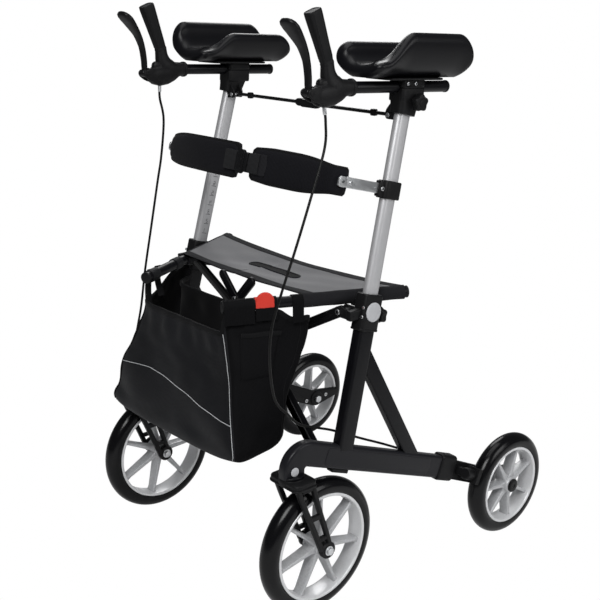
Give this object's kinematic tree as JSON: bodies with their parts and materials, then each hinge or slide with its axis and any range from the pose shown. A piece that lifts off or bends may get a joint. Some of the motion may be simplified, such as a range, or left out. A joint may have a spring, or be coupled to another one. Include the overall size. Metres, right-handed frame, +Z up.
{
  "type": "upright walker",
  "caption": "Folding upright walker with forearm supports: wheeled side frames, height masts, padded arms, brake handles, net seat, front bag and back strap.",
  "frame": {"origin": "on the floor under the middle of the overall box", "axes": "+Z up, -Y the way the walker is pushed, +X to the user's left; the wheels touch the plane Z = 0"},
  "size_m": [0.7288, 0.79, 1.1564],
  "materials": {
    "frame_paint": "semi-gloss anthracite",
    "tube_paint": "satin black",
    "black_plastic": "fine matte grain",
    "grey_plastic": "smooth light grey",
    "steel": "zinc plated",
    "tyre": "smooth rounded black",
    "rim_plastic": "pale silver grey",
    "mast_aluminium": "clear anodised",
    "pad_foam": "integral foam with a soft sheen",
    "grip_rubber": "matte",
    "cable_sheath": "smooth",
    "seat_mesh": "open weave mid grey",
    "bag_nylon": "black woven nylon",
    "strap_fabric": "padded black knit",
    "red_plastic": "smooth red"
  },
  "bodies": {
    "left_frame": {"lower_beam_left": "frame_paint", "upright_tube_left": "tube_paint", "rear_brace_left": "tube_paint", "height_collar_left": "black_plastic", "frame_plugs_left": "grey_plastic", "seat_rail_left": "tube_paint", "brake_housing_left": "black_plastic", "rear_axle_left": "steel", "brake_cable_left": "cable_sheath", "seat_net": "seat_mesh", "bag": "bag_nylon", "pull_tab": "red_plastic"},
    "left_mast": {"mast_left": "mast_aluminium", "strap_arm_left": "steel", "arm_clamp_left": "black_plastic", "forearm_pad_left": "pad_foam", "back_strap": "strap_fabric"},
    "left_arm": {"arm_tube_left": "tube_paint", "handle_body_left": "black_plastic", "grip_left": "grip_rubber"},
    "left_lever": {"brake_lever_left": "black_plastic"},
    "left_shoe": {"brake_shoe_left": "black_plastic"},
    "left_caster": {"caster_fork_left": "black_plastic"},
    "left_front_wheel": {"front_tyre_left": "tyre", "front_rim_left": "rim_plastic"},
    "left_rear_wheel": {"rear_tyre_left": "tyre", "rear_rim_left": "rim_plastic"},
    "left_tie": {"tie_link_left": "black_plastic"},
    "left_strut": {"fold_strut_left": "tube_paint"},
    "left_link": {"fold_link_left": "tube_paint"},
    "left_height_knob": {"height_knob_left": "black_plastic"},
    "left_clamp_knob": {"clamp_knob_left": "black_plastic"},
    "right_frame": {"lower_beam_right": "frame_paint", "upright_tube_right": "tube_paint", "rear_brace_right": "tube_paint", "height_collar_right": "black_plastic", "frame_plugs_right": "grey_plastic", "seat_rail_right": "tube_paint", "brake_housing_right": "black_plastic", "rear_axle_right": "steel", "brake_cable_right": "cable_sheath"},
    "right_mast": {"mast_right": "mast_aluminium", "strap_arm_right": "steel", "arm_clamp_right": "black_plastic", "forearm_pad_right": "pad_foam"},
    "right_arm": {"arm_tube_right": "tube_paint", "handle_body_right": "black_plastic", "grip_right": "grip_rubber"},
    "right_lever": {"brake_lever_right": "black_plastic"},
    "right_shoe": {"brake_shoe_right": "black_plastic"},
    "right_caster": {"caster_fork_right": "black_plastic"},
    "right_front_wheel": {"front_tyre_right": "tyre", "front_rim_right": "rim_plastic"},
    "right_rear_wheel": {"rear_tyre_right": "tyre", "rear_rim_right": "rim_plastic"},
    "right_tie": {"tie_link_right": "black_plastic"},
    "right_strut": {"fold_strut_right": "tube_paint"},
    "right_link": {"fold_link_right": "tube_paint"},
    "right_height_knob": {"height_knob_right": "black_plastic"},
    "right_clamp_knob": {"clamp_knob_right": "black_plastic"}
  },
  "joints": [
    {"name": "fold", "type": "hinge", "parent": "left_frame", "child": "left_strut", "pos_m": [0.247, -0.2125, 0.316], "axis": [0, 1, 0], "range_deg": [0, 18.5], "deforming": ["seat_net", "bag", "back_strap"]},
    {"name": "strut_cross", "type": "hinge", "parent": "left_strut", "child": "right_strut", "pos_m": [0, -0.2125, 0.574], "axis": [0, 1, 0], "range_deg": [-37, 0]},
    {"name": "strut_foot_right", "type": "hinge", "parent": "right_strut", "child": "right_frame", "pos_m": [-0.247, -0.2125, 0.316], "axis": [0, 1, 0], "range_deg": [0, 18.5]},
    {"name": "link_left", "type": "hinge", "parent": "left_frame", "child": "left_link", "pos_m": [0.246, -0.14599, 0.594], "axis": [0, 1, 0], "range_deg": [-29.45, 0]},
    {"name": "tie_left", "type": "hinge", "parent": "left_mast", "child": "left_tie", "pos_m": [0.24205, -0.01939, 0.95658], "axis": [0, 1, 0], "range_deg": [-52.98, 0]},
    {"name": "caster_left", "type": "hinge", "parent": "left_frame", "child": "left_caster", "pos_m": [0.281, -0.3075, 0.31], "axis": [0, 0, 1], "continuous": true},
    {"name": "front_wheel_left", "type": "hinge", "parent": "left_caster", "child": "left_front_wheel", "pos_m": [0.281, -0.243, 0.14], "axis": [1, 0, 0], "continuous": true},
    {"name": "rear_wheel_left", "type": "hinge", "parent": "left_frame", "child": "left_rear_wheel", "pos_m": [0.337, 0.2785, 0.1165], "axis": [1, 0, 0], "continuous": true},
    {"name": "mast_height_left", "type": "slide", "parent": "left_frame", "child": "left_mast", "axis": [-0.0348, 0.2521, 0.9671], "range_m": [-0.12, 0.1], "deforming": ["brake_cable_left"]},
    {"name": "arm_reach_left", "type": "slide", "parent": "left_mast", "child": "left_arm", "axis": [-0.0261, -0.9983, 0.0523], "range_m": [-0.035, 0.05], "deforming": ["brake_cable_left"]},
    {"name": "lever_left", "type": "hinge", "parent": "left_arm", "child": "left_lever", "pos_m": [0.25783, -0.24778, 1.01347], "axis": [-0.9997, 0.0262, 0], "range_deg": [0, 16], "stiffness_Nm_per_rad": 4, "springref_deg": -6.88},
    {"name": "shoe_left", "type": "slide", "parent": "left_frame", "child": "left_shoe", "axis": [0, 0.8988, -0.4384], "range_m": [0, 0.0027]},
    {"name": "height_knob_turn_left", "type": "hinge", "parent": "left_frame", "child": "left_height_knob", "pos_m": [0.27955, -0.0893, 0.58131], "axis": [0.0091, 0.9677, -0.2519], "range_deg": [-360, 360]},
    {"name": "clamp_knob_turn_left", "type": "hinge", "parent": "left_mast", "child": "left_clamp_knob", "pos_m": [0.28626, -0.00277, 0.98157], "axis": [0.9997, -0.0262, 0], "range_deg": [-360, 360]},
    {"name": "link_right", "type": "hinge", "parent": "right_frame", "child": "right_link", "pos_m": [-0.246, -0.14599, 0.594], "axis": [0, 1, 0], "range_deg": [0, 29.45]},
    {"name": "tie_right", "type": "hinge", "parent": "right_mast", "child": "right_tie", "pos_m": [-0.24205, -0.01939, 0.95658], "axis": [0, 1, 0], "range_deg": [0, 52.98]},
    {"name": "caster_right", "type": "hinge", "parent": "right_frame", "child": "right_caster", "pos_m": [-0.281, -0.3075, 0.31], "axis": [0, 0, 1], "continuous": true},
    {"name": "front_wheel_right", "type": "hinge", "parent": "right_caster", "child": "right_front_wheel", "pos_m": [-0.281, -0.243, 0.14], "axis": [1, 0, 0], "continuous": true},
    {"name": "rear_wheel_right", "type": "hinge", "parent": "right_frame", "child": "right_rear_wheel", "pos_m": [-0.337, 0.2785, 0.1165], "axis": [1, 0, 0], "continuous": true},
    {"name": "mast_height_right", "type": "slide", "parent": "right_frame", "child": "right_mast", "axis": [0.0348, 0.2521, 0.9671], "range_m": [-0.12, 0.1], "deforming": ["brake_cable_right", "back_strap"]},
    {"name": "arm_reach_right", "type": "slide", "parent": "right_mast", "child": "right_arm", "axis": [0.0261, -0.9983, 0.0523], "range_m": [-0.035, 0.05], "deforming": ["brake_cable_right"]},
    {"name": "lever_right", "type": "hinge", "parent": "right_arm", "child": "right_lever", "pos_m": [-0.25783, -0.24778, 1.01347], "axis": [-0.9997, -0.0262, 0], "range_deg": [0, 16], "stiffness_Nm_per_rad": 4, "springref_deg": -6.88},
    {"name": "shoe_right", "type": "slide", "parent": "right_frame", "child": "right_shoe", "axis": [0, 0.8988, -0.4384], "range_m": [0, 0.0027]},
    {"name": "height_knob_turn_right", "type": "hinge", "parent": "right_frame", "child": "right_height_knob", "pos_m": [-0.27955, -0.0893, 0.58131], "axis": [0.0091, -0.9677, 0.2519], "range_deg": [-360, 360]},
    {"name": "clamp_knob_turn_right", "type": "hinge", "parent": "right_mast", "child": "right_clamp_knob", "pos_m": [-0.28626, -0.00277, 0.98157], "axis": [0.9997, 0.0262, 0], "range_deg": [-360, 360]}
  ],
  "couplings": [
    {"joint": "strut_cross", "follows": "fold", "ratio": -2},
    {"joint": "strut_foot_right", "follows": "fold", "ratio": 1},
    {"joint": "link_left", "follows": "fold", "ratio": -1.5648},
    {"joint": "tie_left", "follows": "fold", "ratio": -2.8367},
    {"joint": "shoe_left", "follows": "lever_left", "m_per_rad": 0.009311},
    {"joint": "link_right", "follows": "fold", "ratio": 1.5648},
    {"joint": "tie_right", "follows": "fold", "ratio": 2.8367},
    {"joint": "shoe_right", "follows": "lever_right", "m_per_rad": 0.009311},
    {"joint": "mast_height_right", "follows": "mast_height_left", "ratio": 1}
  ]
}
